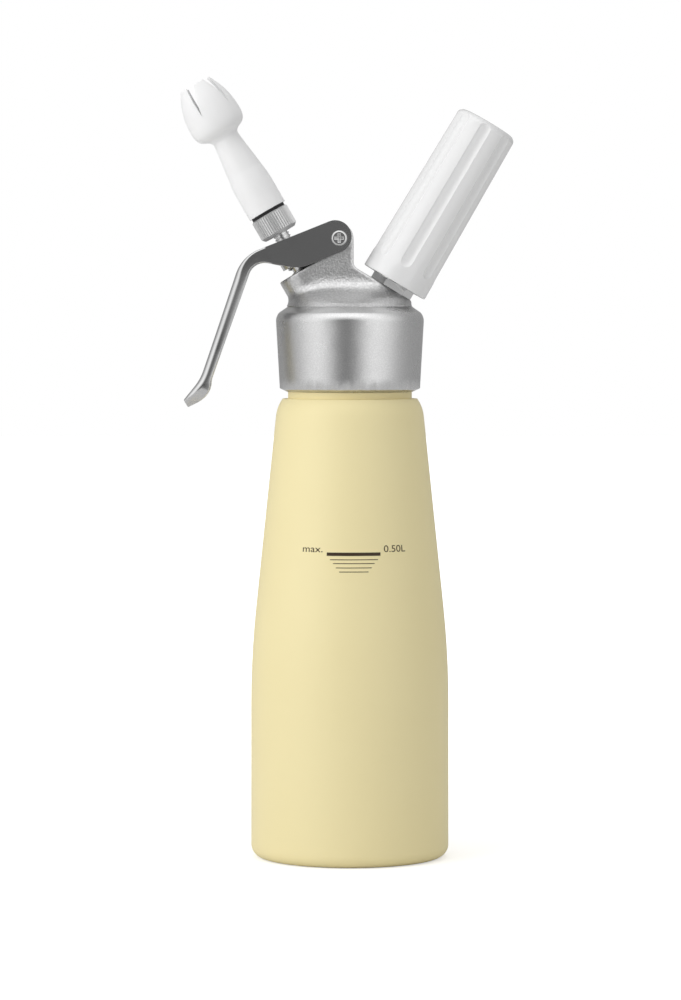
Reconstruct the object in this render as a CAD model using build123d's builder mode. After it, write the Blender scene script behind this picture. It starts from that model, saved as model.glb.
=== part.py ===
from build123d import *
import os
from math import cos, radians, sin, sqrt

# Whipped cream dispenser: a threaded bottle, a cast head with a lever valve and a
# decorator tip on one side, and a gas charger in its screw-on holder on the other.
# Millimetres, +Z up. The origin is the centre of the base, on the surface it stands on.
# +X points to the charger, -X to the lever, -Y to the front.

# Clearances
fixed_gap = 0.02  # between pieces that are pressed or screwed tight in one body
running_gap = 0.06  # a shaft or piston in its bore, on the radius
free_gap = 0.3  # between pieces that move past each other
seal_gap = 0.1  # a seal and the moving face that closes on it
thread_gap = 0.4  # crest of one thread to the root of the other, on the radius

# Bottle
bottle_radius = 40.0
bottle_wall = 1.5
base_corner = 5.0
taper_height = 81.4  # where the side's line and the taper's line would meet
taper_blend = 380.0  # radius between the side and the taper
shoulder_height = 178.6
shoulder_radius = 29.85
shoulder_round_height = 7.0  # from the shoulder up to the ledge
ledge_radius = 27.2
neck_band_radius = 25.0
neck_band_height = 4.9
neck_root = 23.7
neck_height = 18.6  # from the ledge up to the rim
rim_chamfer = 0.4
ledge_height = shoulder_height + shoulder_round_height
neck_band_top = ledge_height + neck_band_height
rim_height = ledge_height + neck_height

# Neck thread, outside on the bottle and inside the head
neck_pitch = 3.0
neck_thread_depth = 1.3
neck_thread_start = -11.2  # from the rim
neck_thread_turns = 3

# Head casting. Heights from here on are above the roof, the face that the gasket meets
gasket_thickness = 2.8
roof_height = rim_height + gasket_thickness
skirt_bottom = -18.6
skirt_corner_height = -17.2
skirt_bottom_radius = 28.3
skirt_top_height = 9.6
skirt_top_radius = 29.8
skirt_shoulder = (28.5, 13.3)  # radius and height where the skirt's top round ends
waist_height = 15.6
waist_radius = 25.2
gasket_width = 4.0
dome_flat = 0.05  # the least flat left at the ends of a dome section
dome_sections = (  # height, half length in X, half depth in Y
    (15.0, 24.9, 24.6),
    (17.4, 24.6, 22.6),
    (19.0, 24.2, 19.2),
    (20.6, 23.5, 15.4),
    (22.2, 22.5, 12.6),
    (23.8, 21.3, 11.0),
    (25.6, 19.6, 10.2),
    (27.3, 17.8, 10.0),
    (29.0, 16.0, 9.9),
)
boss_radius = 10.2  # also half the thickness of the casting's flat sides
boss_root = 10.0  # where the bosses start inside the dome, along their axes
valve_reach = 19.3  # how far each boss reaches towards the middle of the casting
charger_reach = 16.5
lug_radius = 5.75
lug_drop = 14.0
lug_fillet = 2.0
lug_foot = 31.6  # height where the lug meets the charger boss

# Valve axis: it leans to -X
valve_tilt = 30.0
valve_root = -3.4  # height where it meets the bottle's axis
valve_face = 39.0  # distances along the axis, from valve_root
seat_depth = 8.0
disc_space_radius = 7.5
chamber_radius = 4.6
chamber_top = 14.0
bush_bottom = 22.0
bush_height = 6.0
pocket_radius = 5.0

# Valve piston
stem_radius = 3.3
stem_bore = 2.1
stem_top = 64.0
disc_radius = 6.0
disc_thickness = 1.8
disc_seal_thickness = 1.6
port_radius = 1.4
port_count = 4
port_place = 10.6
ring_groove_place = 18.0
ring_groove_width = 2.0
ring_groove_depth = 0.6
stem_pitch = 1.25
stem_thread_depth = 0.4
stem_thread_start = 51.2
stem_thread_turns = 10

# Collar and return spring
collar_radius = 6.5
collar_bottom = 42.2
collar_top = 50.2
collar_wall = 1.3
collar_chamfer = 0.4
spring_wire = 1.0
spring_radius = 4.15  # to the middle of the wire
spring_pitch = 2.9
spring_seat_gap = 0.05

# Knurled adapter
adapter_radius = 7.95
adapter_bottom = 56.0
adapter_top = 65.2
adapter_chamfer = 1.2
adapter_bore = 2.5
knurl_count = 48
knurl_depth = 0.35
adapter_thread_skip = 4  # turns of the stem's thread below the adapter
adapter_thread_turns = 5
adapter_edge = 0.5
spigot_top = 76.0
spigot_root = 4.6
spigot_pitch = 2.0
spigot_thread_depth = 0.9
spigot_thread_start = 68.6
spigot_thread_turns = 3
tip_thread_turns = 3
tip_seal_radius = 7.25
tip_seal_thickness = 1.3

# Decorator tip: places are distances from its base
tip_base_radius = 8.1
tip_base_length = 10.0
tip_waist_radius = 7.2
tip_waist_place = 19.0
tip_taper_radius = 6.1
tip_taper_place = 24.6
tip_neck_radius = 5.45
tip_neck_place = 32.8
tip_flare_radius = 8.9
tip_flare_place = 36.2
tip_bulb_radius = 11.2
tip_bulb_place = 41.5
tip_crown_radius = 9.7
tip_crown_place = 51.6
tip_mouth_radius = 6.7
tip_length = 58.3
tip_wall = 1.2
tip_slot_count = 5
tip_slot_width = 3.6
tip_slot_length = 13.3
tip_slot_turn = -38.0  # degrees from the axis plane to the first slot

# Lever: pressed from one sheet. Its side is drawn as (X, height above the roof)
lever_sheet = 1.5
lever_half_width = 12.0
ear_centre = (-5.9, 43.6)
ear_radius = 6.6
ear_gap_x = -11.3  # the plate ends here, between the ears
lever_top = (-8.34, 49.73)  # where the plate's line leaves the ear
lever_crest = (-43.4, 35.7)
crest_round = 16.0
lever_flare = (-60.2, -13.6)
flare_round = 20.0
lever_end = (-67.0, -21.9)
lever_tip = (-65.5, -25.2)
tip_inside = (-58.1, -19.7)
tip_inside_round = 12.0
lever_armpit = (-38.9, 34.4)
armpit_round = 6.7
cheek_belly = (-20.5, 30.8)
belly_round = 14.0
cheek_end = (-3.65, 37.4)
handle_half_width = 8.5
spoon_half_width = 9.5
neck_in_high = 29.0  # the lever narrows from its ears to its handle between these heights
neck_in_low = 17.0
spoon_start = -1.0
spoon_height = -15.8
handle_foot = -25.3
neck_in_round = 12.0
ear_top = 53.0  # just over the ears
stem_slot_width = 8.6
stem_slot_length = 11.5

# Pivot
pivot_x = -4.3
pivot_z = 43.0
sleeve_radius = 2.2
screw_radius = 1.4
screw_head_radius = 3.1
screw_head_height = 1.7
screw_head_round = 0.8
screw_length = 12.0
cross_width = 0.75
cross_length = 3.4
cross_depth = 1.0

# Charger axis: it leans to +X
charger_tilt = 30.5
charger_root = -4.8
stub_face = 32.2  # distances along the axis, from charger_root
stub_bottom = 18.6
stub_space = 1.0  # free depth under the stub, where the gas turns to the outlet
stub_shank_radius = 7.0
stub_hex_flats = 16.0
stub_hex_height = 2.8
stub_hex_turn = 8.0
stub_root = 9.1
stub_top = 48.5
stub_pitch = 2.0
stub_thread_depth = 1.1
stub_thread_start = 38.4
stub_thread_turns = 4.5
stub_cup_radius = 7.4
stub_cup_bottom = 44.0
stub_chamfer = 0.8
stub_groove_place = 24.2
stub_groove_width = 1.8
gas_bore = 1.8
outlet_x = 12.5
outlet_radius = 2.0
outlet_length = 9.2
ring_section = 0.8

# Piercing pin and its carrier
carrier_radius = 3.0
carrier_bottom = 30.0
seal_seat = 38.0
charger_seal_thickness = 2.5
pin_radius = 0.9
pin_bore = 0.4
pin_bottom = 31.0
pin_tip = 43.0
pin_point = 2.0

# Gas charger, standard 8 gram size
charger_radius = 8.9
charger_length = 65.5
charger_wall = 1.1
charger_neck_radius = 3.9
charger_neck_length = 6.0
charger_shoulder = 8.0
charger_end = 7.5
pierced_radius = 1.3

# Charger holder
holder_bottom = 35.2
holder_cap = 3.0  # thickness of the closed end
holder_bottom_radius = 14.1
holder_top_radius = 13.1
holder_round = 3.0
holder_edge = 0.6
holder_bore_gap = 0.5  # around the charger
flute_count = 8
flute_width = 5.4
flute_depth = 0.9
flute_start = 7.2  # from the holder's open end
flute_end = 0.6  # from its closed end

# Check valve at the gas outlet
flap_radius = 3.4
flap_thickness = 1.2
flap_stem_length = 4.0
bill_length = 4.2
bill_radius = 2.3
bill_lip = 1.1
valve_bore = 0.8

# Planes that hold each axis: x is the distance from the axis, y runs along it
valve_lean = radians(valve_tilt)
charger_lean = radians(charger_tilt)
upright = Plane.XZ
roof = Plane.XY.offset(roof_height)
head_side = Plane(roof.origin, x_dir=(1, 0, 0), z_dir=(0, -1, 0))
head_end = Plane(roof.origin, x_dir=(0, 1, 0), z_dir=(1, 0, 0))
valve_origin = (0, 0, roof_height + valve_root)
charger_origin = (0, 0, roof_height + charger_root)
valve_side = Plane(valve_origin, x_dir=(cos(valve_lean), 0, sin(valve_lean)), z_dir=(0, -1, 0))
charger_side = Plane(
    charger_origin, x_dir=(cos(charger_lean), 0, -sin(charger_lean)), z_dir=(0, -1, 0)
)
valve_plane = Plane(valve_origin, x_dir=valve_side.x_dir, z_dir=valve_side.y_dir)
charger_plane = Plane(charger_origin, x_dir=charger_side.x_dir, z_dir=charger_side.y_dir)
valve_axis = Axis(valve_plane.origin, valve_plane.z_dir)
charger_axis = Axis(charger_plane.origin, charger_plane.z_dir)


def thread_ridge(plane, start, turns, pitch, root, depth, inside=False):
    """Helical ridge of a thread, for a shank or, inside, for a bore whose radius is root."""
    way = -1 if inside else 1
    bite = 0.15  # how far the ridge sinks into the wall that carries it
    base = 0.28 * pitch  # half widths of the ridge
    crest = 0.13 * pitch
    with BuildPart(mode=Mode.PRIVATE) as ridge:
        with BuildLine() as path:
            Helix(pitch=pitch, height=pitch * turns, radius=root)
        with BuildSketch(Plane(path.line @ 0, x_dir=(1, 0, 0), z_dir=path.line % 0)):
            Polygon(
                (-way * bite, -base),
                (way * depth, -crest),
                (way * depth, crest),
                (-way * bite, base),
                align=None,
            )
        sweep(path=path.line, is_frenet=True)
    return plane.offset(start).location * ridge.part


def lever_front(inset):
    """The lever's outline seen along X, drawn in by inset, as a sketch of (Y, Z)."""
    with BuildSketch(mode=Mode.PRIVATE) as front:
        with BuildLine():
            side = FilletPolyline(
                (0, ear_top),
                (lever_half_width - inset, ear_top),
                (lever_half_width - inset, neck_in_high),
                (handle_half_width - inset, neck_in_low),
                (handle_half_width - inset, spoon_start),
                (spoon_half_width - inset, spoon_height),
                radius=[1, neck_in_round, neck_in_round, neck_in_round],
            )
            foot = (0, handle_foot + inset)
            RadiusArc(side @ 1, foot, spoon_half_width - inset)
            Line(foot, side @ 0)
        make_face()
        mirror(about=Plane.YZ)
    return front.sketch


def finish(piece, label):
    """Label a finished piece and write it to its own STEP file."""
    piece.part.label = label
    os.makedirs("parts", exist_ok=True)
    export_step(piece.part, f"parts/{label}.step")


# Bottle: one shell, open at the neck
with BuildPart() as bottle:
    for inset, mode in ((0, Mode.ADD), (bottle_wall, Mode.SUBTRACT)):
        neck_line = neck_root - bottle_wall if inset else neck_band_radius
        with BuildSketch(upright):
            with BuildLine():
                body = FilletPolyline(
                    (0, inset),
                    (bottle_radius - inset, inset),
                    (bottle_radius - inset, taper_height),
                    (shoulder_radius - inset, shoulder_height),
                    radius=[base_corner - inset, taper_blend],
                )
                shoulder = TangentArc(
                    body @ 1, (ledge_radius - inset, ledge_height - inset), tangent=body % 1
                )
                Polyline(
                    shoulder @ 1,
                    (neck_line, ledge_height - inset),
                    (neck_line, rim_height),
                    (0, rim_height),
                    (0, inset),
                )
            make_face()
        revolve(axis=Axis.Z, mode=mode)
    with BuildSketch(upright):
        with Locations((neck_root, neck_band_top)):
            Rectangle(neck_band_radius, rim_height - neck_band_top, align=Align.MIN)
    revolve(axis=Axis.Z, mode=Mode.SUBTRACT)
    chamfer(bottle.edges().filter_by(GeomType.CIRCLE).group_by(Axis.Z)[-1], rim_chamfer)
    add(
        thread_ridge(
            Plane.XY.offset(rim_height),
            neck_thread_start,
            neck_thread_turns,
            neck_pitch,
            neck_root,
            neck_thread_depth,
        )
    )
finish(bottle, "bottle")

# Head gasket: a flat ring on the bottle's rim, under the head's roof
skirt_bore = neck_root + neck_thread_depth + thread_gap
gasket_radius = skirt_bore - free_gap
with BuildPart() as head_gasket:
    with BuildSketch(Plane.XY.offset(rim_height)):
        Circle(gasket_radius)
        Circle(gasket_radius - gasket_width, mode=Mode.SUBTRACT)
    extrude(amount=gasket_thickness)
finish(head_gasket, "head_gasket")

# Head casting: skirt, dome, the two bosses and the pivot lug, then every bore
with BuildPart() as head_casting:
    with BuildSketch(head_side):
        with BuildLine():
            skirt = Polyline(
                (0, skirt_bottom),
                (skirt_bore, skirt_bottom),
                (skirt_bottom_radius, skirt_corner_height),
                (skirt_top_radius, skirt_top_height),
            )
            rounding = TangentArc(skirt @ 1, skirt_shoulder, tangent=skirt % 1)
            Polyline(rounding @ 1, (waist_radius, waist_height), (0, waist_height), skirt @ 0)
        make_face()
    revolve(axis=Axis.Z)
    # the dome narrows from the waist's circle to the flat sides
    for height, half_length, half_depth in dome_sections:
        with BuildSketch(roof.offset(height)):
            RectangleRounded(2 * half_length, 2 * half_depth, half_depth - dome_flat)
    loft()
    with BuildSketch(charger_plane.offset(stub_face)):
        Rectangle(3 * boss_radius, 6 * boss_radius)
    extrude(amount=2 * boss_radius, mode=Mode.SUBTRACT)
    with BuildSketch(valve_plane.offset(boss_root)):
        Circle(boss_radius)
        with Locations((valve_reach / 2, 0)):
            Rectangle(valve_reach, 2 * boss_radius)
    extrude(amount=valve_face - boss_root)
    with BuildSketch(charger_plane.offset(boss_root)):
        Circle(boss_radius)
        with Locations((-charger_reach / 2, 0)):
            Rectangle(charger_reach, 2 * boss_radius)
    extrude(amount=stub_face - boss_root)
    with BuildSketch(head_side):
        with Locations((pivot_x, pivot_z)):
            Circle(lug_radius)
            Rectangle(lug_radius, lug_drop, align=(Align.MIN, Align.MAX))
    extrude(amount=boss_radius, both=True)
    lug_foot_place = head_side.from_local_coords((pivot_x + lug_radius, lug_foot))
    fillet(
        head_casting.edges().filter_by(Axis.Y).sort_by_distance(lug_foot_place)[0], lug_fillet
    )
    # the threaded space for the bottle's neck
    with BuildSketch(roof):
        Circle(skirt_bore)
    extrude(amount=skirt_bottom, mode=Mode.SUBTRACT)
    # the valve's space and seat, its chamber, the stem's bore and the spring's pocket
    with BuildSketch(valve_side):
        Polygon(
            (0, 0),
            (disc_space_radius, 0),
            (disc_space_radius, seat_depth),
            (chamber_radius, seat_depth),
            (chamber_radius, chamber_top),
            (stem_radius + running_gap, chamber_top),
            (stem_radius + running_gap, bush_bottom),
            (pocket_radius, bush_bottom),
            (pocket_radius, valve_face + free_gap),
            (0, valve_face + free_gap),
            align=None,
        )
    revolve(axis=valve_axis, mode=Mode.SUBTRACT)
    # the stub's bore, and the gas outlet down through the roof
    with BuildSketch(charger_plane.offset(stub_bottom - stub_space)):
        Circle(stub_shank_radius + fixed_gap)
    extrude(amount=stub_face, mode=Mode.SUBTRACT)
    with BuildSketch(roof):
        with Locations((outlet_x, 0)):
            Circle(outlet_radius)
    extrude(amount=outlet_length, mode=Mode.SUBTRACT)
    # the pivot's bore through the lug
    with BuildSketch(head_side):
        with Locations((pivot_x, pivot_z)):
            Circle(sleeve_radius + fixed_gap)
    extrude(amount=boss_radius, both=True, mode=Mode.SUBTRACT)
    add(
        thread_ridge(
            Plane.XY.offset(rim_height),
            neck_thread_start - neck_pitch / 2,
            neck_thread_turns,
            neck_pitch,
            skirt_bore,
            neck_thread_depth,
            inside=True,
        )
    )
finish(head_casting, "head_casting")

# Valve piston: a hollow stem with a disc at its foot, ports above it and a thread on top
disc_bottom = seat_depth - disc_seal_thickness - disc_thickness
disc_top = disc_bottom + disc_thickness
groove_root = stem_radius - ring_groove_depth
stem_thread_root = stem_radius - stem_thread_depth
with BuildPart() as valve_piston:
    with BuildSketch(valve_side):
        Polygon(
            (0, disc_bottom),
            (disc_radius, disc_bottom),
            (disc_radius, disc_top),
            (stem_radius, disc_top),
            (stem_radius, ring_groove_place),
            (groove_root, ring_groove_place),
            (groove_root, ring_groove_place + ring_groove_width),
            (stem_radius, ring_groove_place + ring_groove_width),
            (stem_radius, collar_top),
            (stem_thread_root, collar_top),
            (stem_thread_root, stem_top),
            (stem_bore, stem_top),
            (stem_bore, disc_top + disc_thickness),
            (0, disc_top + disc_thickness),
            align=None,
        )
    revolve(axis=valve_axis)
    for number in range(port_count):
        turn = Rotation(0, 0, number * 360 / port_count)
        spoke = Plane(valve_plane.offset(port_place).location * turn)
        with BuildSketch(Plane(spoke.origin, x_dir=spoke.y_dir, z_dir=spoke.x_dir)):
            Circle(port_radius)
        extrude(amount=disc_radius, mode=Mode.SUBTRACT)
    add(
        thread_ridge(
            valve_plane,
            stem_thread_start,
            stem_thread_turns,
            stem_pitch,
            stem_thread_root,
            stem_thread_depth,
        )
    )
finish(valve_piston, "valve_piston")

# Valve disc seal: the ring on the disc that closes on the seat
with BuildPart() as valve_disc_seal:
    with BuildSketch(valve_plane.offset(disc_top)):
        Circle(disc_radius)
        Circle(stem_radius + fixed_gap, mode=Mode.SUBTRACT)
    extrude(amount=disc_seal_thickness)
finish(valve_disc_seal, "valve_disc_seal")

# O-ring round the stem, squeezed in its groove
with BuildPart() as stem_o_ring:
    with BuildSketch(valve_side):
        with Locations((groove_root + fixed_gap, ring_groove_place + ring_groove_width / 2)):
            Rectangle(
                ring_groove_depth, ring_groove_width - free_gap, align=(Align.MIN, Align.CENTER)
            )
    revolve(axis=valve_axis)
finish(stem_o_ring, "stem_o_ring")

# Guide bush: it guides the stem and carries the foot of the return spring
bush_top = bush_bottom + bush_height
with BuildPart() as guide_bush:
    with BuildSketch(valve_plane.offset(bush_bottom)):
        Circle(pocket_radius - fixed_gap)
        Circle(stem_radius + running_gap, mode=Mode.SUBTRACT)
    extrude(amount=bush_height)
finish(guide_bush, "guide_bush")

# Thrust collar: a cup over the spring, which the lever's plate presses down
with BuildPart() as thrust_collar:
    with BuildSketch(valve_side):
        Polygon(
            (pocket_radius, collar_bottom),
            (collar_radius, collar_bottom),
            (collar_radius, collar_top),
            (stem_radius + fixed_gap, collar_top),
            (stem_radius + fixed_gap, collar_top - collar_wall),
            (pocket_radius, collar_top - collar_wall),
            align=None,
        )
    revolve(axis=valve_axis)
    chamfer(thrust_collar.edges().sort_by(valve_axis)[-1], collar_chamfer)
finish(thrust_collar, "thrust_collar")

# Return spring: a coil between the bush and the collar, with ground ends
spring_length = collar_top - collar_wall - bush_top - 2 * spring_seat_gap
with BuildPart() as return_spring:
    with BuildLine() as coil:
        Helix(pitch=spring_pitch, height=spring_length, radius=spring_radius)
    with BuildSketch(Plane(coil.line @ 0, x_dir=(1, 0, 0), z_dir=coil.line % 0)):
        Circle(spring_wire / 2)
    sweep(path=coil.line, is_frenet=True)
    split(bisect_by=Plane.XY, keep=Keep.TOP)
    split(bisect_by=Plane.XY.offset(spring_length), keep=Keep.BOTTOM)
return_spring.part = valve_plane.offset(bush_top + spring_seat_gap).location * return_spring.part
finish(return_spring, "return_spring")

# Tip adapter: a knurled nut on the stem, with a threaded spigot for the tip
adapter_root = stem_radius + 2 * running_gap
with BuildPart() as tip_adapter:
    with BuildSketch(valve_side):
        Polygon(
            (adapter_root, adapter_bottom),
            (adapter_radius - adapter_chamfer, adapter_bottom),
            (adapter_radius, adapter_bottom + adapter_chamfer),
            (adapter_radius, adapter_top - adapter_edge),
            (adapter_radius - adapter_edge, adapter_top),
            (spigot_root, adapter_top),
            (spigot_root, spigot_top),
            (adapter_bore, spigot_top),
            (adapter_bore, stem_top + free_gap),
            (adapter_root, stem_top + free_gap),
            align=None,
        )
    revolve(axis=valve_axis)
    with BuildSketch(valve_plane.offset(adapter_bottom)):
        with PolarLocations(adapter_radius, knurl_count):
            Rectangle(knurl_depth * sqrt(2), knurl_depth * sqrt(2), rotation=45)
    extrude(amount=adapter_top - adapter_bottom, mode=Mode.SUBTRACT)
    add(
        thread_ridge(
            valve_plane,
            stem_thread_start + (adapter_thread_skip + 0.5) * stem_pitch,
            adapter_thread_turns,
            stem_pitch,
            adapter_root,
            stem_thread_depth - running_gap,
            inside=True,
        )
    )
    add(
        thread_ridge(
            valve_plane,
            spigot_thread_start,
            spigot_thread_turns,
            spigot_pitch,
            spigot_root,
            spigot_thread_depth,
        )
    )
finish(tip_adapter, "tip_adapter")

# Tip seal: the black washer between the adapter and the tip
tip_base = adapter_top + tip_seal_thickness
with BuildPart() as tip_seal:
    with BuildSketch(valve_plane.offset(adapter_top)):
        Circle(tip_seal_radius)
        Circle(spigot_root + spigot_thread_depth + fixed_gap, mode=Mode.SUBTRACT)
    extrude(amount=tip_seal_thickness)
finish(tip_seal, "tip_seal")

# Decorator tip: a thin tulip, slotted at its mouth and threaded inside its base
tip_root = spigot_root + spigot_thread_depth + thread_gap
tip_side = Plane(
    valve_plane.offset(tip_base).origin, x_dir=valve_side.x_dir, z_dir=valve_side.z_dir
)
with BuildPart() as decorator_tip:
    for inset, mode in ((0, Mode.ADD), (tip_wall, Mode.SUBTRACT)):
        slant = inset * sqrt(0.5)
        base_line = tip_root if inset else tip_base_radius
        with BuildSketch(tip_side):
            with BuildLine():
                Polyline((0, tip_length), (0, 0), (base_line, 0), (base_line, tip_base_length))
                Spline(
                    (base_line, tip_base_length),
                    (tip_waist_radius - inset, tip_waist_place),
                    (tip_taper_radius - inset, tip_taper_place),
                    (tip_neck_radius - inset, tip_neck_place),
                    tangents=((0, 1), (0, 1)),
                )
                Spline(
                    (tip_neck_radius - inset, tip_neck_place),
                    (tip_flare_radius - slant, tip_flare_place + slant),
                    (tip_bulb_radius - inset, tip_bulb_place),
                    tangents=((0, 1), (0, 1)),
                )
                Spline(
                    (tip_bulb_radius - inset, tip_bulb_place),
                    (tip_crown_radius - inset, tip_crown_place),
                    (tip_mouth_radius - inset, tip_length),
                    tangents=((0, 1), (-0.5, 1)),
                )
                Line((tip_mouth_radius - inset, tip_length), (0, tip_length))
            make_face()
        revolve(axis=valve_axis, mode=mode)
    for number in range(tip_slot_count):
        turn = Rotation(0, 0, tip_slot_turn + number * 360 / tip_slot_count)
        spoke = Plane(valve_plane.offset(tip_base + tip_length).location * turn)
        with BuildSketch(Plane(spoke.origin, x_dir=spoke.y_dir, z_dir=spoke.x_dir)):
            Polygon(
                (0, -tip_slot_length), (tip_slot_width / 2, 0), (-tip_slot_width / 2, 0), align=None
            )
        extrude(amount=2 * tip_bulb_radius, mode=Mode.SUBTRACT)
    add(
        thread_ridge(
            valve_plane,
            spigot_thread_start - spigot_pitch / 2,
            tip_thread_turns,
            spigot_pitch,
            tip_root,
            spigot_thread_depth,
            inside=True,
        )
    )
finish(decorator_tip, "decorator_tip")

# Lever: two ears on the pivot, a plate over the collar and a channel for a handle
with BuildPart() as lever_hollow:
    with BuildSketch(head_side):
        with BuildLine():
            back = FilletPolyline(
                lever_top, lever_crest, lever_flare, lever_end, radius=[crest_round, flare_round]
            )
            Polyline(
                back @ 1,
                (lever_end[0], handle_foot - 2 * lever_sheet),
                (2 * lug_radius, handle_foot - 2 * lever_sheet),
                (2 * lug_radius, lever_top[1]),
                back @ 0,
            )
        make_face()
        offset(amount=-lever_sheet, kind=Kind.INTERSECTION)
        with Locations((ear_gap_x, lever_top[1])):
            Rectangle(2 * ear_radius, 2 * ear_radius, align=(Align.MIN, Align.CENTER))
    extrude(amount=lever_half_width, both=True)
    with BuildSketch(head_end):
        add(lever_front(lever_sheet))
    extrude(amount=2 * lever_end[0], both=True, mode=Mode.INTERSECT)

with BuildPart() as lever:
    with BuildSketch(head_side):
        with BuildLine():
            FilletPolyline(
                lever_top, lever_crest, lever_flare, lever_end, radius=[crest_round, flare_round]
            )
            Line(lever_end, lever_tip)
            FilletPolyline(
                lever_tip,
                tip_inside,
                lever_armpit,
                cheek_belly,
                cheek_end,
                radius=[tip_inside_round, armpit_round, belly_round],
            )
            Line(cheek_end, lever_top)
        make_face()
        with Locations(ear_centre):
            Circle(ear_radius)
    extrude(amount=lever_half_width, both=True)
    with BuildSketch(head_end):
        add(lever_front(0))
    extrude(amount=2 * lever_end[0], both=True, mode=Mode.INTERSECT)
    add(lever_hollow.part, mode=Mode.SUBTRACT)
    with BuildSketch(head_side):
        with Locations((pivot_x, pivot_z)):
            Circle(sleeve_radius + running_gap)
    extrude(amount=lever_half_width, both=True, mode=Mode.SUBTRACT)
    with BuildSketch(valve_plane.offset(collar_bottom)):
        SlotOverall(stem_slot_length, stem_slot_width)
    extrude(amount=adapter_bottom - collar_bottom, mode=Mode.SUBTRACT)
finish(lever, "lever")

# Pivot: a sleeve nut through the lug and the ears, and the screw that closes it
ear_face = lever_half_width + seal_gap
pivot_height = roof_height + pivot_z
pivot_front = Plane((pivot_x, -ear_face, pivot_height), x_dir=(1, 0, 0), z_dir=(0, -1, 0))
pivot_back = Plane((pivot_x, ear_face, pivot_height), x_dir=(1, 0, 0), z_dir=(0, 1, 0))
with BuildPart() as pivot_sleeve:
    with BuildSketch(pivot_back):
        Circle(screw_head_radius)
    extrude(amount=screw_head_height)
    fillet(pivot_sleeve.edges().sort_by(Axis.Y)[-1], screw_head_round)
    with BuildSketch(pivot_back):
        Circle(sleeve_radius)
    extrude(amount=-2 * ear_face)
    with BuildSketch(pivot_front):
        Circle(screw_radius + fixed_gap)
    extrude(amount=-screw_length - free_gap, mode=Mode.SUBTRACT)
finish(pivot_sleeve, "pivot_sleeve")

with BuildPart() as pivot_screw:
    with BuildSketch(pivot_front):
        Circle(screw_head_radius)
    extrude(amount=screw_head_height)
    fillet(pivot_screw.edges().sort_by(Axis.Y)[0], screw_head_round)
    with BuildSketch(pivot_front):
        Circle(screw_radius)
    extrude(amount=-screw_length)
    with BuildSketch(pivot_front.offset(screw_head_height)):
        Rectangle(cross_length, cross_width)
        Rectangle(cross_width, cross_length)
    extrude(amount=-cross_depth, mode=Mode.SUBTRACT)
finish(pivot_screw, "pivot_screw")

# Charger stub: screwed into the casting by its hexagon, threaded for the holder
hex_top = stub_face + stub_hex_height
neck_bore = charger_neck_radius + thread_gap
stub_groove_root = stub_shank_radius - 2 * ring_section
with BuildPart() as charger_stub:
    with BuildSketch(charger_side):
        Polygon(
            (gas_bore, stub_bottom),
            (stub_shank_radius, stub_bottom),
            (stub_shank_radius, stub_groove_place),
            (stub_groove_root, stub_groove_place),
            (stub_groove_root, stub_groove_place + stub_groove_width),
            (stub_shank_radius, stub_groove_place + stub_groove_width),
            (stub_shank_radius, hex_top),
            (stub_root, hex_top),
            (stub_root, stub_top - stub_chamfer),
            (stub_root - stub_chamfer, stub_top),
            (stub_cup_radius, stub_top),
            (stub_cup_radius, stub_cup_bottom),
            (neck_bore, stub_cup_bottom),
            (neck_bore, seal_seat),
            (carrier_radius, seal_seat),
            (carrier_radius, carrier_bottom),
            (gas_bore, carrier_bottom),
            align=None,
        )
    revolve(axis=charger_axis)
    with BuildSketch(charger_plane.offset(stub_face)):
        RegularPolygon(stub_hex_flats / 2, 6, major_radius=False, rotation=stub_hex_turn)
        Circle(stub_shank_radius - ring_section, mode=Mode.SUBTRACT)
    extrude(amount=stub_hex_height)
    add(
        thread_ridge(
            charger_plane,
            stub_thread_start,
            stub_thread_turns,
            stub_pitch,
            stub_root,
            stub_thread_depth,
        )
    )
finish(charger_stub, "charger_stub")

# O-ring that seals the stub in the casting
with BuildPart() as stub_o_ring:
    with BuildSketch(charger_side):
        with Locations(
            (stub_shank_radius - ring_section, stub_groove_place + stub_groove_width / 2)
        ):
            Circle(ring_section - fixed_gap)
    revolve(axis=charger_axis)
finish(stub_o_ring, "stub_o_ring")

# Pin carrier and the hollow pin that pierces the charger
with BuildPart() as pin_carrier:
    with BuildSketch(charger_plane.offset(carrier_bottom)):
        Circle(carrier_radius - fixed_gap)
        Circle(pin_radius + fixed_gap, mode=Mode.SUBTRACT)
    extrude(amount=seal_seat - carrier_bottom)
finish(pin_carrier, "pin_carrier")

with BuildPart() as piercing_pin:
    with BuildSketch(charger_side):
        Polygon(
            (pin_bore, pin_bottom),
            (pin_radius, pin_bottom),
            (pin_radius, pin_tip - pin_point),
            (pin_bore, pin_tip),
            align=None,
        )
    revolve(axis=charger_axis)
finish(piercing_pin, "piercing_pin")

# Charger seal: the washer that closes on the charger's neck
with BuildPart() as charger_seal:
    with BuildSketch(charger_plane.offset(seal_seat)):
        Circle(neck_bore - fixed_gap)
        Circle(pin_radius + free_gap, mode=Mode.SUBTRACT)
    extrude(amount=charger_seal_thickness)
finish(charger_seal, "charger_seal")

# Check valve: a rubber duckbill in the gas outlet, under the roof
outlet_axis = Axis((outlet_x, 0, 0), (0, 0, 1))
with BuildPart() as check_valve:
    with BuildSketch(Plane((outlet_x, 0, roof_height), x_dir=(1, 0, 0), z_dir=(0, -1, 0))):
        Polygon(
            (valve_bore, -flap_thickness - bill_length),
            (bill_lip, -flap_thickness - bill_length),
            (bill_radius, -flap_thickness),
            (flap_radius, -flap_thickness),
            (flap_radius, 0),
            (outlet_radius - fixed_gap, 0),
            (outlet_radius - fixed_gap, flap_stem_length),
            (valve_bore, flap_stem_length),
            align=None,
        )
    revolve(axis=outlet_axis)
finish(check_valve, "check_valve")

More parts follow.
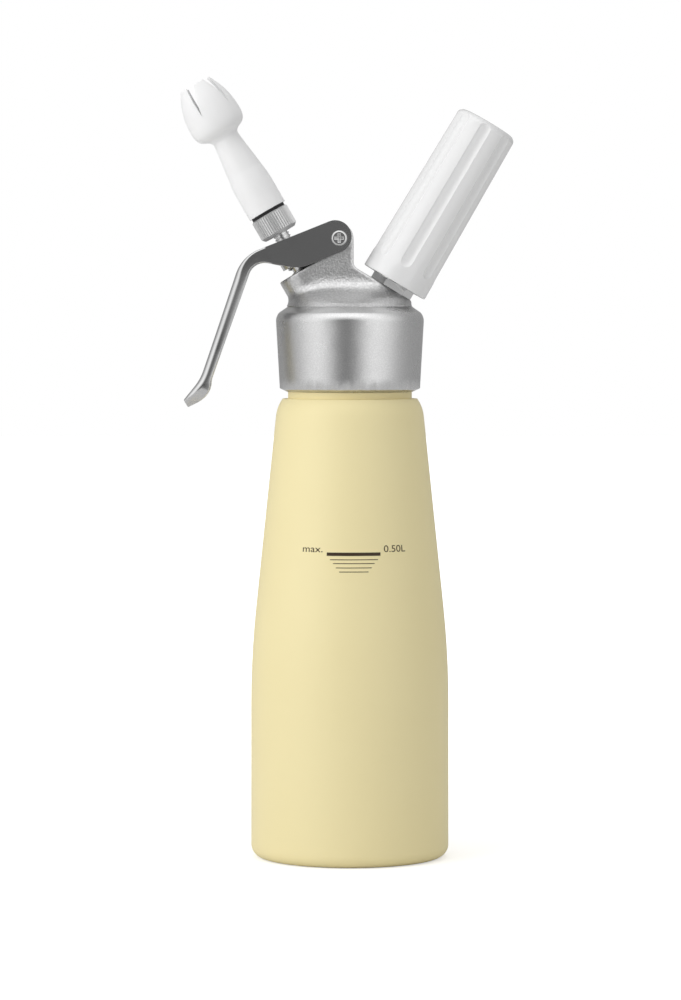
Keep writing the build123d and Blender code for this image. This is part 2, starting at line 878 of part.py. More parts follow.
# Gas charger: a thin steel bottle, its cap pierced by the pin
charger_tip = seal_seat + charger_seal_thickness + seal_gap
shoulder_start = charger_tip + charger_neck_length
shoulder_end = shoulder_start + charger_shoulder
cap_start = charger_tip + charger_length - charger_end
with BuildPart() as gas_charger:
    for inset, mode in ((0, Mode.ADD), (charger_wall, Mode.SUBTRACT)):
        body_line = charger_radius - inset
        neck_line = charger_neck_radius - inset
        with BuildSketch(charger_side):
            with BuildLine():
                Polyline(
                    (0, charger_tip + inset),
                    (neck_line, charger_tip + inset),
                    (neck_line, shoulder_start),
                )
                Spline(
                    (neck_line, shoulder_start),
                    (body_line, shoulder_end),
                    tangents=((1, 0.6), (0, 1)),
                    tangent_scalars=(0.8, 1),
                )
                Line((body_line, shoulder_end), (body_line, cap_start))
                Spline(
                    (body_line, cap_start),
                    (0, cap_start + charger_end - inset),
                    tangents=((0, 1), (-1, 0)),
                )
                Line((0, cap_start + charger_end - inset), (0, charger_tip + inset))
            make_face()
        revolve(axis=charger_axis, mode=mode)
    with BuildSketch(charger_plane.offset(charger_tip)):
        Circle(pierced_radius)
    extrude(amount=2 * charger_wall, mode=Mode.SUBTRACT)
finish(gas_charger, "gas_charger")

# Charger holder: a fluted cap over the charger, threaded at its open end
holder_root = stub_root + stub_thread_depth + thread_gap
holder_bore = charger_radius + holder_bore_gap
bore_end = charger_tip + charger_length + free_gap
holder_top = bore_end + holder_cap
holder_length = holder_top - holder_bottom
holder_draft = (holder_bottom_radius - holder_top_radius) / holder_length
thread_zone_end = stub_top + free_gap

# the cutter of one flute: a rod with ball ends, parallel to the tapered side
groove_radius = (flute_width**2 / 4 + flute_depth**2) / (2 * flute_depth)
groove_centre = holder_bottom_radius + groove_radius - flute_depth
low_ball = flute_start + flute_width / 2
high_ball = holder_length - flute_end - flute_width / 2
flute_base = charger_side.from_local_coords(
    (groove_centre - holder_draft * low_ball, holder_bottom + low_ball)
)
flute_head = charger_side.from_local_coords(
    (groove_centre - holder_draft * high_ball, holder_bottom + high_ball)
)
flute_run = flute_head - flute_base
with BuildPart(Plane(flute_base, z_dir=flute_run)) as flute:
    Sphere(groove_radius)
    Cylinder(groove_radius, flute_run.length, align=(Align.CENTER, Align.CENTER, Align.MIN))
    with Locations((0, 0, flute_run.length)):
        Sphere(groove_radius)

with BuildPart() as charger_holder:
    with BuildSketch(charger_side):
        with BuildLine():
            FilletPolyline(
                (holder_root, holder_bottom),
                (holder_bottom_radius, holder_bottom),
                (holder_top_radius, holder_top),
                (0, holder_top),
                radius=[holder_edge, holder_round],
            )
            Polyline(
                (0, holder_top),
                (0, bore_end),
                (holder_bore, bore_end),
                (holder_bore, thread_zone_end),
                (holder_root, thread_zone_end),
                (holder_root, holder_bottom),
            )
        make_face()
    revolve(axis=charger_axis)
    for number in range(flute_count):
        add(flute.part.rotate(charger_axis, number * 360 / flute_count), mode=Mode.SUBTRACT)
    add(
        thread_ridge(
            charger_plane,
            stub_thread_start - stub_pitch / 2,
            stub_thread_turns,
            stub_pitch,
            holder_root,
            stub_thread_depth,
            inside=True,
        )
    )
finish(charger_holder, "charger_holder")
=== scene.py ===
import bpy
import bmesh
from math import cos, pi, radians, sin
from mathutils import Matrix, Vector


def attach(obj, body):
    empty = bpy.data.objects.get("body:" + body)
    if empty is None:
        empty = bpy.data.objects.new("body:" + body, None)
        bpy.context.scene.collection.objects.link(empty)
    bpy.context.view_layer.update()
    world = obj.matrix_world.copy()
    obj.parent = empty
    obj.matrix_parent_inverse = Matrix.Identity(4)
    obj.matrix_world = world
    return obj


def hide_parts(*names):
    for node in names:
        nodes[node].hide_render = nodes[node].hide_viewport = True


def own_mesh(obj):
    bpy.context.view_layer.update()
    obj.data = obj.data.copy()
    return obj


# Whipped cream dispenser, dressed over its fixed frame. Metres, +Z up, the lever and the tip to -X.
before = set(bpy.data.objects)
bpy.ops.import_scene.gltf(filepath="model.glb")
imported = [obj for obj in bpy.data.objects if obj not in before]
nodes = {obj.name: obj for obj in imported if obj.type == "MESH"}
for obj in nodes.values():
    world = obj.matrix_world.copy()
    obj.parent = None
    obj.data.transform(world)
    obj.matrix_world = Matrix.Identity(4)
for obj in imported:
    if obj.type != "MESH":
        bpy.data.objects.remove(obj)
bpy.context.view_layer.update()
print("frame loaded:", len(nodes), "nodes")

# the valve's and the charger's axes: a point on the head's own axis, and the way outwards
valveAxis = (Vector((0, 0, 0.2036)), Vector((-0.5, 0, 0.8660254)))
chargerAxis = (Vector((0, 0, 0.2022)), Vector((0.5075384, 0, 0.8616292)))
valveFrame = Matrix.Translation(valveAxis[0]) @ Matrix.Rotation(radians(-30), 4, "Y")
# how near two points are merged, and how near to a cut a point is on it
mergeGap, cutGap = 1e-6, 1e-7


def linear(r, g, b):
    # a colour as seen on screen, 0 to 255, made linear for the shader
    shades = [v / 255 for v in (r, g, b)]
    return tuple(v / 12.92 if v <= 0.04045 else ((v + 0.055) / 1.055) ** 2.4 for v in shades) + (1,)


# shared effects
effectLook = {
    "grainDetail": 3, "grainRoughness": 0.6, "specksFrom": 0.42, "specksFull": 0.72, "mottleDetail": 4,
}


def newGroup(name, inputs, outputs):
    group = bpy.data.node_groups.new(name, "ShaderNodeTree")
    for label, kind, value in inputs:
        socket = group.interface.new_socket(name=label, in_out="INPUT", socket_type=kind)
        socket.default_value = value
    for label, kind in outputs:
        group.interface.new_socket(name=label, in_out="OUTPUT", socket_type=kind)
    return group, group.nodes.new("NodeGroupInput"), group.nodes.new("NodeGroupOutput")


def makeGrainGroup():
    # fine relief and specks, stretched along one axis where the finish is brushed
    group, start, end = newGroup(
        "fineGrain",
        [
            ("Size", "NodeSocketFloat", 2000.0),
            ("Stretch", "NodeSocketVector", (1, 1, 1)),
            ("Speck", "NodeSocketFloat", 0.5),
        ],
        [("Height", "NodeSocketFloat"), ("Specks", "NodeSocketFloat")],
    )
    node, link = group.nodes.new, group.links.new
    coord = node("ShaderNodeTexCoord")
    stretch = node("ShaderNodeVectorMath")
    stretch.operation = "MULTIPLY"
    noise = node("ShaderNodeTexNoise")
    noise.inputs["Detail"].default_value = effectLook["grainDetail"]
    noise.inputs["Roughness"].default_value = effectLook["grainRoughness"]
    cells = node("ShaderNodeTexVoronoi")
    cells.feature = "SMOOTH_F1"
    mix = node("ShaderNodeMix")
    ramp = node("ShaderNodeValToRGB")
    ramp.color_ramp.elements[0].position = effectLook["specksFrom"]
    ramp.color_ramp.elements[1].position = effectLook["specksFull"]
    link(coord.outputs["Object"], stretch.inputs[0])
    link(start.outputs["Stretch"], stretch.inputs[1])
    link(stretch.outputs[0], noise.inputs["Vector"])
    link(stretch.outputs[0], cells.inputs["Vector"])
    link(start.outputs["Size"], noise.inputs["Scale"])
    link(start.outputs["Size"], cells.inputs["Scale"])
    link(start.outputs["Speck"], mix.inputs["Factor"])
    link(noise.outputs["Fac"], mix.inputs["A"])
    link(cells.outputs["Distance"], mix.inputs["B"])
    link(mix.outputs["Result"], end.inputs["Height"])
    link(noise.outputs["Fac"], ramp.inputs["Fac"])
    link(ramp.outputs["Color"], end.inputs["Specks"])
    return group


def makeMottleGroup():
    # slow change between two colours, and a roughness that follows it
    group, start, end = newGroup(
        "slowMottle",
        [
            ("Colour", "NodeSocketColor", (0.8, 0.8, 0.8, 1)),
            ("Second colour", "NodeSocketColor", (0.7, 0.7, 0.7, 1)),
            ("Size", "NodeSocketFloat", 40.0),
            ("Roughness", "NodeSocketFloat", 0.4),
            ("Roughness change", "NodeSocketFloat", 0.06),
        ],
        [("Colour", "NodeSocketColor"), ("Roughness", "NodeSocketFloat")],
    )
    node, link = group.nodes.new, group.links.new
    coord = node("ShaderNodeTexCoord")
    noise = node("ShaderNodeTexNoise")
    noise.inputs["Detail"].default_value = effectLook["mottleDetail"]
    mix = node("ShaderNodeMix")
    mix.data_type = "RGBA"
    spread = node("ShaderNodeMath")
    spread.operation = "MULTIPLY_ADD"
    link(coord.outputs["Object"], noise.inputs["Vector"])
    link(start.outputs["Size"], noise.inputs["Scale"])
    link(noise.outputs["Fac"], mix.inputs[0])
    link(start.outputs["Colour"], mix.inputs[6])
    link(start.outputs["Second colour"], mix.inputs[7])
    link(mix.outputs[2], end.inputs["Colour"])
    link(noise.outputs["Fac"], spread.inputs[0])
    link(start.outputs["Roughness change"], spread.inputs[1])
    link(start.outputs["Roughness"], spread.inputs[2])
    link(spread.outputs[0], end.inputs["Roughness"])
    return group


grainGroup = makeGrainGroup()
mottleGroup = makeMottleGroup()

# what a finish has where it doesn't say otherwise
plainLook = {
    "stretch": (1, 1, 1), "speck": 0.3, "metallic": 0.0, "specular": 0.5, "coat": 0.0, "coatRoughness": 0.1,
    "milky": 0.0, "milkyDepth": 0.002,
}


def makeFinish(name, ownLook):
    # one material from the shared effects; its look holds what a user would change
    look = {**plainLook, **ownLook}
    material = bpy.data.materials.new(name)
    material.use_nodes = True
    tree = material.node_tree
    shader = tree.nodes["Principled BSDF"]
    mottle = tree.nodes.new("ShaderNodeGroup")
    mottle.node_tree = mottleGroup
    mottle.inputs["Colour"].default_value = look["colour"]
    mottle.inputs["Second colour"].default_value = look["secondColour"]
    mottle.inputs["Size"].default_value = look["mottleSize"]
    mottle.inputs["Roughness"].default_value = look["roughness"]
    mottle.inputs["Roughness change"].default_value = look["roughnessChange"]
    grain = tree.nodes.new("ShaderNodeGroup")
    grain.node_tree = grainGroup
    grain.inputs["Size"].default_value = look["grainSize"]
    grain.inputs["Stretch"].default_value = look["stretch"]
    grain.inputs["Speck"].default_value = look["speck"]
    bump = tree.nodes.new("ShaderNodeBump")
    bump.inputs["Strength"].default_value = look["bump"]
    bump.inputs["Distance"].default_value = look["bumpDepth"]
    tree.links.new(grain.outputs["Height"], bump.inputs["Height"])
    tree.links.new(bump.outputs["Normal"], shader.inputs["Normal"])
    colour = mottle.outputs["Colour"]
    if "speckColour" in look:
        specks = tree.nodes.new("ShaderNodeMix")
        specks.data_type = "RGBA"
        specks.inputs[7].default_value = look["speckColour"]
        tree.links.new(grain.outputs["Specks"], specks.inputs[0])
        tree.links.new(colour, specks.inputs[6])
        colour = specks.outputs[2]
    tree.links.new(colour, shader.inputs["Base Color"])
    tree.links.new(mottle.outputs["Roughness"], shader.inputs["Roughness"])
    shader.inputs["Metallic"].default_value = look["metallic"]
    shader.inputs["Specular IOR Level"].default_value = look["specular"]
    shader.inputs["Coat Weight"].default_value = look["coat"]
    shader.inputs["Coat Roughness"].default_value = look["coatRoughness"]
    shader.inputs["Subsurface Weight"].default_value = look["milky"]
    shader.inputs["Subsurface Radius"].default_value = (1, 1, 1)
    shader.inputs["Subsurface Scale"].default_value = look["milkyDepth"]
    return material


finishes = {
    "powderCoat": {
        "colour": linear(248, 235, 184), "secondColour": linear(246, 232, 179), "mottleSize": 25,
        "roughness": 0.40, "roughnessChange": 0.06, "grainSize": 900, "bump": 0.10, "bumpDepth": 0.0003,
        "specular": 0.4,
    },
    "blastedCasting": {
        "colour": linear(206, 206, 206), "secondColour": linear(188, 188, 188), "mottleSize": 60,
        "roughness": 0.30, "roughnessChange": 0.10, "grainSize": 1300, "bump": 0.55, "bumpDepth": 0.0004,
        "speck": 0.4, "speckColour": linear(224, 224, 224), "metallic": 1.0,
    },
    "blastedSkirt": {
        "colour": linear(212, 212, 212), "secondColour": linear(198, 198, 198), "mottleSize": 40,
        "roughness": 0.24, "roughnessChange": 0.08, "grainSize": 2300, "bump": 0.24, "bumpDepth": 0.0003,
        "speck": 0.3, "speckColour": linear(224, 224, 224), "metallic": 1.0,
    },
    "leverSteel": {
        "colour": linear(214, 214, 214), "secondColour": linear(200, 200, 200), "mottleSize": 50,
        "roughness": 0.14, "roughnessChange": 0.08, "grainSize": 700, "bump": 0.02, "bumpDepth": 0.0002,
        "stretch": (1, 6, 1), "metallic": 1.0,
    },
    "turnedSteel": {
        "colour": linear(216, 216, 216), "secondColour": linear(202, 202, 202), "mottleSize": 80,
        "roughness": 0.16, "roughnessChange": 0.08, "grainSize": 1500, "bump": 0.04, "bumpDepth": 0.0002,
        "stretch": (1, 1, 4), "metallic": 1.0,
    },
    "knurledNickel": {
        "colour": linear(222, 222, 222), "secondColour": linear(208, 208, 208), "mottleSize": 90,
        "roughness": 0.40, "roughnessChange": 0.08, "grainSize": 1800, "bump": 0.04, "bumpDepth": 0.0002,
        "metallic": 1.0,
    },
    "holderGloss": {
        "colour": linear(243, 243, 243), "secondColour": linear(239, 239, 239), "mottleSize": 30,
        "roughness": 0.14, "roughnessChange": 0.05, "grainSize": 700, "bump": 0.006, "bumpDepth": 0.0001,
        "specular": 0.55, "coat": 0.5,
    },
    "tipPlastic": {
        "colour": linear(250, 250, 250), "secondColour": linear(247, 247, 247), "mottleSize": 50,
        "roughness": 0.42, "roughnessChange": 0.06, "grainSize": 2600, "bump": 0.06, "bumpDepth": 0.0002,
        "specular": 0.45, "milky": 0.25,
    },
    "blackRubber": {
        "colour": linear(36, 36, 37), "secondColour": linear(28, 28, 29), "mottleSize": 120,
        "roughness": 0.6, "roughnessChange": 0.1, "grainSize": 2400, "bump": 0.1, "bumpDepth": 0.0002,
        "specular": 0.4,
    },
    "siliconeSeal": {
        "colour": linear(228, 227, 222), "secondColour": linear(220, 219, 214), "mottleSize": 90,
        "roughness": 0.5, "roughnessChange": 0.1, "grainSize": 2000, "bump": 0.06, "bumpDepth": 0.0002,
        "specular": 0.4,
    },
    "turnedBrass": {
        "colour": linear(206, 178, 110), "secondColour": linear(190, 160, 94), "mottleSize": 120,
        "roughness": 0.22, "roughnessChange": 0.1, "grainSize": 2000, "bump": 0.05, "bumpDepth": 0.0002,
        "metallic": 1.0,
    },
    "bushPlastic": {
        "colour": linear(226, 222, 210), "secondColour": linear(218, 214, 202), "mottleSize": 90,
        "roughness": 0.4, "roughnessChange": 0.08, "grainSize": 1800, "bump": 0.05, "bumpDepth": 0.0002,
        "specular": 0.4,
    },
    "printInk": {
        "colour": linear(58, 44, 26), "secondColour": linear(48, 36, 20), "mottleSize": 300,
        "roughness": 0.5, "roughnessChange": 0.08, "grainSize": 2600, "bump": 0.05, "bumpDepth": 0.0001,
        "specular": 0.4,
    },
}
made = {name: makeFinish(name, look) for name, look in finishes.items()}

nodeFinish = {
    "bottle": "powderCoat", "head_gasket": "siliconeSeal", "head_casting": "blastedCasting",
    "lever": "leverSteel", "pivot_screw": "turnedSteel", "pivot_sleeve": "turnedSteel",
    "valve_piston": "turnedSteel", "valve_disc_seal": "blackRubber", "stem_o_ring": "blackRubber",
    "guide_bush": "bushPlastic", "thrust_collar": "turnedSteel", "return_spring": "turnedSteel",
    "tip_adapter": "knurledNickel", "tip_seal": "blackRubber", "decorator_tip": "tipPlastic",
    "charger_stub": "turnedSteel", "stub_o_ring": "blackRubber", "pin_carrier": "turnedBrass",
    "piercing_pin": "turnedSteel", "charger_seal": "blackRubber", "check_valve": "blackRubber",
    "gas_charger": "turnedSteel", "charger_holder": "holderGloss",
}
for name, finish in nodeFinish.items():
    for slot in nodes[name].material_slots:
        slot.material = made[finish]
print("finishes made:", len(made))


def openCopy(node):
    # a copy of a CAD node, merged, to be refined
    mesh = bmesh.new()
    mesh.from_mesh(nodes[node].data)
    bmesh.ops.remove_doubles(mesh, verts=mesh.verts, dist=mergeGap)
    bmesh.ops.dissolve_degenerate(mesh, dist=mergeGap, edges=mesh.edges)
    return mesh


def cutMesh(mesh, place, way, **clear):
    # every face is cut along a plane, and one side may be cleared away
    everything = mesh.verts[:] + mesh.edges[:] + mesh.faces[:]
    return bmesh.ops.bisect_plane(mesh, geom=everything, dist=cutGap, plane_co=place, plane_no=way, **clear)


def fromAxis(point, axis):
    # how far a point is from an axis, and how far along it
    start, way = axis
    offset = point - start
    along = offset.dot(way)
    return (offset - way * along).length, along


def roundAxis(axis, gap, reach):
    # a test for points farther out than gap from an axis, within a reach along it
    def inside(point):
        away, along = fromAxis(point, axis)
        return away > gap and reach[0] < along < reach[1]
    return inside


def sharpEdges(mesh, angle, where):
    return [
        e for e in mesh.edges
        if len(e.link_faces) == 2 and e.calc_face_angle(0) > radians(angle)
        and where((e.verts[0].co + e.verts[1].co) / 2)
    ]


def roundEdges(mesh, edges, width, segments):
    bmesh.ops.bevel(
        mesh, geom=edges, offset=width, offset_type="OFFSET", affect="EDGES", segments=segments, profile=0.5,
        material=-1, clamp_overlap=True,
    )


def makePiece(name, mesh, body, finish, smoothAngle):
    # an angle of 0 shades the piece smooth throughout
    data = bpy.data.meshes.new(name)
    mesh.to_mesh(data)
    mesh.free()
    piece = bpy.data.objects.new(name, data)
    bpy.context.scene.collection.objects.link(piece)
    data.materials.append(made[finish])
    data.shade_smooth()
    if smoothAngle:
        data.set_sharp_from_angle(angle=radians(smoothAngle))
        # broad faces keep their own shading, and the small rounds between them take up the turn
        even = piece.modifiers.new("evenShading", "WEIGHTED_NORMAL")
        even.keep_sharp = True
    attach(piece, body)
    return piece


# the lever: its ears and plate are refined from the solid, and its handle is swept along the same line,
# with a back that rolls over into the sides
leverLook = {
    "sheet": 0.0015, "cutEdge": 0.00025, "flatness": 0.6, "smooth": 40,
    # where the plate ends and the handle begins, and the way along the handle there
    "split": (-0.034, 0, 0.24646), "along": (-0.9284, 0, -0.3715),
    # the back's edges on the ears: how far out they are at least, and how even; how far the face between them
    # may lean to a side, and how nearly a face may look along the handle before it counts as the cut's own
    "earsFrom": 0.0118, "even": 1e-5, "lean": 0.1, "cutFace": 0.9, "earRound": 0.0006, "earSegments": 3,
    # the handle's round grows between two heights
    "handleRound": 0.0026, "roundFrom": 0.247, "roundTo": 0.233, "segments": 8,
    "innerRound": 0.0002, "innerSegments": 4,
    # half widths, and the square of the least one; the solid's neck widens straight between two heights,
    # and the soft one eases
    "earWidth": 0.0120, "handleWidth": 0.0085, "spoonWidth": 0.0095, "endSquare": 1e-7,
    "neck": (0.224, 0.236), "softNeck": (0.206, 0.2455), "spoonFrom": 0.2060, "spoonAt": 0.1912,
    # points near the handle's back, and the way it faces there in degrees from +X
    "line": (
        (-0.0340, 0.2465, 111.8), (-0.0385, 0.2440, 114), (-0.0430, 0.2405, 136), (-0.0458, 0.2360, 155),
        (-0.0475, 0.2310, 161.2), (-0.0588, 0.1975, 161.2), (-0.0606, 0.1933, 151), (-0.0628, 0.1900, 140.7),
        (-0.0655, 0.1868, 134), (-0.0667, 0.1855, 120),
    ),
    "step": 0.0012,
    # how far before and behind that line the rays start that find the solid, and how far beside the middle
    "rayBefore": 0.012, "rayBehind": 0.02, "raySide": 0.0005,
    # the foot's heights, its depth as a start, a bulge and a fall, how many of its last loops are filled, and
    # the size and reach of the loops that round its end
    "foot": (0.1945, 0.1855), "footDepth": (0.0044, 0.0019, 0.0008), "filledLoops": 2,
    "endRound": ((0.97, 0.00015), (0.88, 0.0004)),
}
splitWay = Vector(leverLook["along"])


def partBetween(value, low, high):
    return min(max((value - low) / (high - low), 0), 1)


def easeBetween(value, low, high):
    part = partBetween(value, low, high)
    return part * part * (3 - 2 * part)


def halfWidth(z, neck, between):
    # half the lever's width at a height
    handle, spoon, spoonAt = leverLook["handleWidth"], leverLook["spoonWidth"], leverLook["spoonAt"]
    if z < spoonAt:
        return max(spoon ** 2 - (spoonAt - z) ** 2, leverLook["endSquare"]) ** 0.5
    if z < leverLook["spoonFrom"]:
        return handle + (spoon - handle) * ((leverLook["spoonFrom"] - z) / (leverLook["spoonFrom"] - spoonAt))
    return handle + (leverLook["earWidth"] - handle) * between(z, *neck)


def onBack(edge):
    # the straight edges where the ears' back turns down into the sides
    first, second = (v.co for v in edge.verts)
    if len(edge.link_faces) != 2 or min(abs(first.y), abs(second.y)) < leverLook["earsFrom"]:
        return False
    if abs(first.y - second.y) >= leverLook["even"]:
        return False
    flat, side = sorted(edge.link_faces, key=lambda f: abs(f.normal.y))
    isSide = side.normal.y * ((first + second) / 2).y > 0
    isFlat = abs(flat.normal.y) < leverLook["lean"]
    return isSide and isFlat and flat.normal.dot(splitWay) < leverLook["cutFace"]


lever = openCopy("lever")
bmesh.ops.dissolve_limit(
    lever, angle_limit=radians(leverLook["flatness"]), verts=lever.verts, edges=lever.edges
)
cutMesh(lever, leverLook["split"], splitWay, clear_outer=True)
bmesh.ops.holes_fill(lever, edges=[e for e in lever.edges if e.is_boundary], sides=0)
lever.normal_update()
roundEdges(lever, [e for e in lever.edges if onBack(e)], leverLook["earRound"], leverLook["earSegments"])


def stations():
    # even steps along the handle: a point and the way the back faces
    line = leverLook["line"]
    for (x0, z0, a0), (x1, z1, a1) in zip(line, line[1:]):
        steps = max(1, round(((x1 - x0) ** 2 + (z1 - z0) ** 2) ** 0.5 / leverLook["step"]))
        for number in range(steps):
            part = number / steps
            yield x0 + (x1 - x0) * part, z0 + (z1 - z0) * part, radians(a0 + (a1 - a0) * part)
    yield line[-1][0], line[-1][1], radians(line[-1][2])


def handleDepth(z, near, outward, back):
    # how deep the channel is behind its back; the foot's own depth isn't taken from the solid
    footTop, footEnd = leverLook["foot"]
    if z < footTop:
        part = (footTop - z) / (footTop - footEnd)
        start, bulge, fall = leverLook["footDepth"]
        return start + bulge * sin(pi * part) - fall * part
    wall = Vector((0, halfWidth(z, leverLook["neck"], partBetween) - leverLook["sheet"] / 2, 0))
    rim = nodes["lever"].ray_cast(near - outward * leverLook["rayBehind"] + wall, outward)[1]
    rim.y = 0
    return (back - rim).length


def handleSection(x, z, angle, filled):
    # one closed loop round the bent sheet
    outward = Vector((cos(angle), 0, sin(angle)))
    near = Vector((x, 0, z))
    start = near + outward * leverLook["rayBefore"] + Vector((0, leverLook["raySide"], 0))
    back = nodes["lever"].ray_cast(start, -outward)[1]
    back.y = 0
    depth = handleDepth(z, near, outward, back)
    wide = halfWidth(back.z, leverLook["softNeck"], easeBetween)
    sheet, cut = leverLook["sheet"], leverLook["cutEdge"]
    grown = 1 - easeBetween(back.z, leverLook["roundTo"], leverLook["roundFrom"])
    turn = leverLook["earRound"] + (leverLook["handleRound"] - leverLook["earRound"]) * grown
    turn = min(turn, depth - 2 * cut)
    inner = max(turn - sheet, leverLook["innerRound"])
    floor = depth - cut if filled else sheet
    half = [(0, 0), (wide / 2, 0)]
    for number in range(leverLook["segments"] + 1):
        bend = pi / 2 * number / leverLook["segments"]
        half.append((wide - turn + turn * sin(bend), turn - turn * cos(bend)))
    inside = wide - sheet
    half += [(wide, depth - cut), (wide - cut, depth), (inside + cut, depth), (inside, depth - cut)]
    for number in range(leverLook["innerSegments"] + 1):
        bend = pi / 2 * (1 - number / leverLook["innerSegments"])
        half.append((inside - inner + inner * sin(bend), max(floor + inner - inner * cos(bend), floor)))
    half = [(y, min(d, depth)) for y, d in half] + [(wide / 2, floor), (0, floor)]
    loop = []
    for y, d in half + [(-y, d) for y, d in half[-2:0:-1]]:
        place = back - outward * d
        place.y = y
        if back.z < leverLook["spoonAt"]:
            place.y = y * halfWidth(place.z, leverLook["softNeck"], easeBetween) / wide
        loop.append(lever.verts.new(place))
    return loop


handleStations = list(stations())
rings = []
for number, (x, z, angle) in enumerate(handleStations):
    left = len(handleStations) - number
    rings.append(handleSection(x, z, angle, filled=left <= leverLook["filledLoops"]))
lastRing = rings[-1]
endWay = (lastRing[0].co - rings[-3][0].co).normalized()
middle = sum((v.co for v in lastRing), Vector()) / len(lastRing)
for scale, reach in leverLook["endRound"]:
    rings.append([lever.verts.new(middle + (v.co - middle) * scale + endWay * reach) for v in lastRing])
for near, far in zip(rings, rings[1:]):
    for a in range(len(near)):
        b = (a + 1) % len(near)
        lever.faces.new((near[a], near[b], far[b], far[a]))
lever.faces.new(rings[0])
lever.faces.new(rings[-1])
bmesh.ops.recalc_face_normals(lever, faces=lever.faces)
leverPiece = makePiece("leverSheet", lever, "lever", "leverSteel", leverLook["smooth"])
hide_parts("lever")

# the return spring, a screw of round wire between the guide bush and the collar; wire is the wire's radius
springLook = {
    "foot": 0.02805, "length": 0.0208, "wire": 0.0005, "radius": 0.00415, "pitch": 0.0029, "sides": 10,
    "steps": 30, "smooth": 60,
}
spring = bmesh.new()
bmesh.ops.create_circle(spring, cap_ends=True, segments=springLook["sides"], radius=springLook["wire"])
bmesh.ops.rotate(spring, verts=spring.verts, cent=(0, 0, 0), matrix=Matrix.Rotation(pi / 2, 3, "X"))
wireStart = (springLook["radius"], 0, springLook["foot"] + springLook["wire"])
bmesh.ops.translate(spring, verts=spring.verts, vec=wireStart)
springRise = springLook["length"] - 2 * springLook["wire"]
springTurns = springRise / springLook["pitch"]
springSteps = round(springTurns * springLook["steps"])
bmesh.ops.spin(
    spring, geom=spring.verts[:] + spring.edges[:] + spring.faces[:], cent=(0, 0, 0), axis=(0, 0, 1),
    dvec=(0, 0, springRise / springSteps), angle=2 * pi * springTurns, steps=springSteps, use_merge=False,
    use_duplicate=False,
)
bmesh.ops.transform(spring, verts=spring.verts, matrix=valveFrame)
bmesh.ops.recalc_face_normals(spring, faces=spring.faces)
springPiece = makePiece("returnCoil", spring, "head", "turnedSteel", springLook["smooth"])
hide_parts("return_spring")
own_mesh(springPiece)
print("lever and spring made")

# the casting: its skirt stays crisp, its dome is blended as a cast one is
castLook = {
    "cut": 0.2226, "overlap": 0.0012, "skirtSmooth": 30, "voxel": 0.0005,
    # the dome keeps its foot, from this far under the cut, and its bores; the pivot's is at an x and a z
    "keptFoot": 0.0006, "valveBore": 0.0062, "chargerBore": 0.0078, "pivotBore": 0.0030,
    "pivot": (-0.0043, 0.250),
    # its inner corners are filled between two heights, outside the bosses and away from their end faces
    "softHeights": (0.2221, 0.2345), "valveBoss": 0.0085, "chargerBoss": 0.0095, "valveFace": 0.0390,
    "chargerFace": 0.0322, "faceGap": 0.0022,
    # how many times the corners and the edges are blended, and how strongly each time
    "softBlend": 110, "edgeBlend": 4, "blend": 0.5,
    # its foot is drawn in to this radius, up to a little over the cut
    "foot": 0.0247, "footOver": 0.00005,
}


def cutLevel(mesh, height, keepAbove):
    cut = cutMesh(mesh, (0, 0, height), (0, 0, 1), clear_outer=not keepAbove, clear_inner=keepAbove)
    rim = [g for g in cut["geom_cut"] if isinstance(g, bmesh.types.BMEdge)]
    bmesh.ops.triangle_fill(mesh, use_beauty=True, use_dissolve=False, edges=rim)
    bmesh.ops.recalc_face_normals(mesh, faces=mesh.faces)


def blendVerts(mesh, verts, times):
    for step in range(times):
        bmesh.ops.smooth_vert(
            mesh, verts=verts, factor=castLook["blend"], use_axis_x=True, use_axis_y=True, use_axis_z=True
        )


skirt = openCopy("head_casting")
cutLevel(skirt, castLook["cut"], keepAbove=False)
makePiece("castSkirt", skirt, "head", "blastedSkirt", castLook["skirtSmooth"])

dome = openCopy("head_casting")
cutLevel(dome, castLook["cut"] - castLook["overlap"], keepAbove=True)
domePiece = makePiece("castDome", dome, "head", "blastedCasting", 0)
remesh = domePiece.modifiers.new("blend", "REMESH")
remesh.mode = "VOXEL"
remesh.voxel_size = castLook["voxel"]
bpy.context.view_layer.update()
remeshed = bpy.data.meshes.new_from_object(domePiece.evaluated_get(bpy.context.evaluated_depsgraph_get()))
domePiece.modifiers.clear()
dome = bmesh.new()
dome.from_mesh(remeshed)
dome.normal_update()
pivotX, pivotZ = castLook["pivot"]
softLow, softHigh = castLook["softHeights"]
edgeVerts, softVerts = [], []
for v in dome.verts:
    valveGap, valveAlong = fromAxis(v.co, valveAxis)
    chargerGap, chargerAlong = fromAxis(v.co, chargerAxis)
    pivotGap = Vector((v.co.x - pivotX, 0, v.co.z - pivotZ)).length
    inBore = valveGap < castLook["valveBore"] or chargerGap < castLook["chargerBore"]
    if inBore or pivotGap < castLook["pivotBore"] or v.co.z < castLook["cut"] - castLook["keptFoot"]:
        continue
    edgeVerts.append(v)
    offBoss = chargerGap > castLook["chargerBoss"] and valveGap > castLook["valveBoss"]
    faceGap = min(castLook["valveFace"] - valveAlong, castLook["chargerFace"] - chargerAlong)
    if offBoss and softLow < v.co.z < softHigh and faceGap > castLook["faceGap"]:
        softVerts.append(v)
sharpForm = [(v, v.co.copy(), v.normal.copy()) for v in softVerts]
blendVerts(dome, softVerts, castLook["softBlend"])
for v, place, outward in sharpForm:
    if (v.co - place).dot(outward) < 0:  # only inner corners are filled
        v.co = place
blendVerts(dome, edgeVerts, castLook["edgeBlend"])
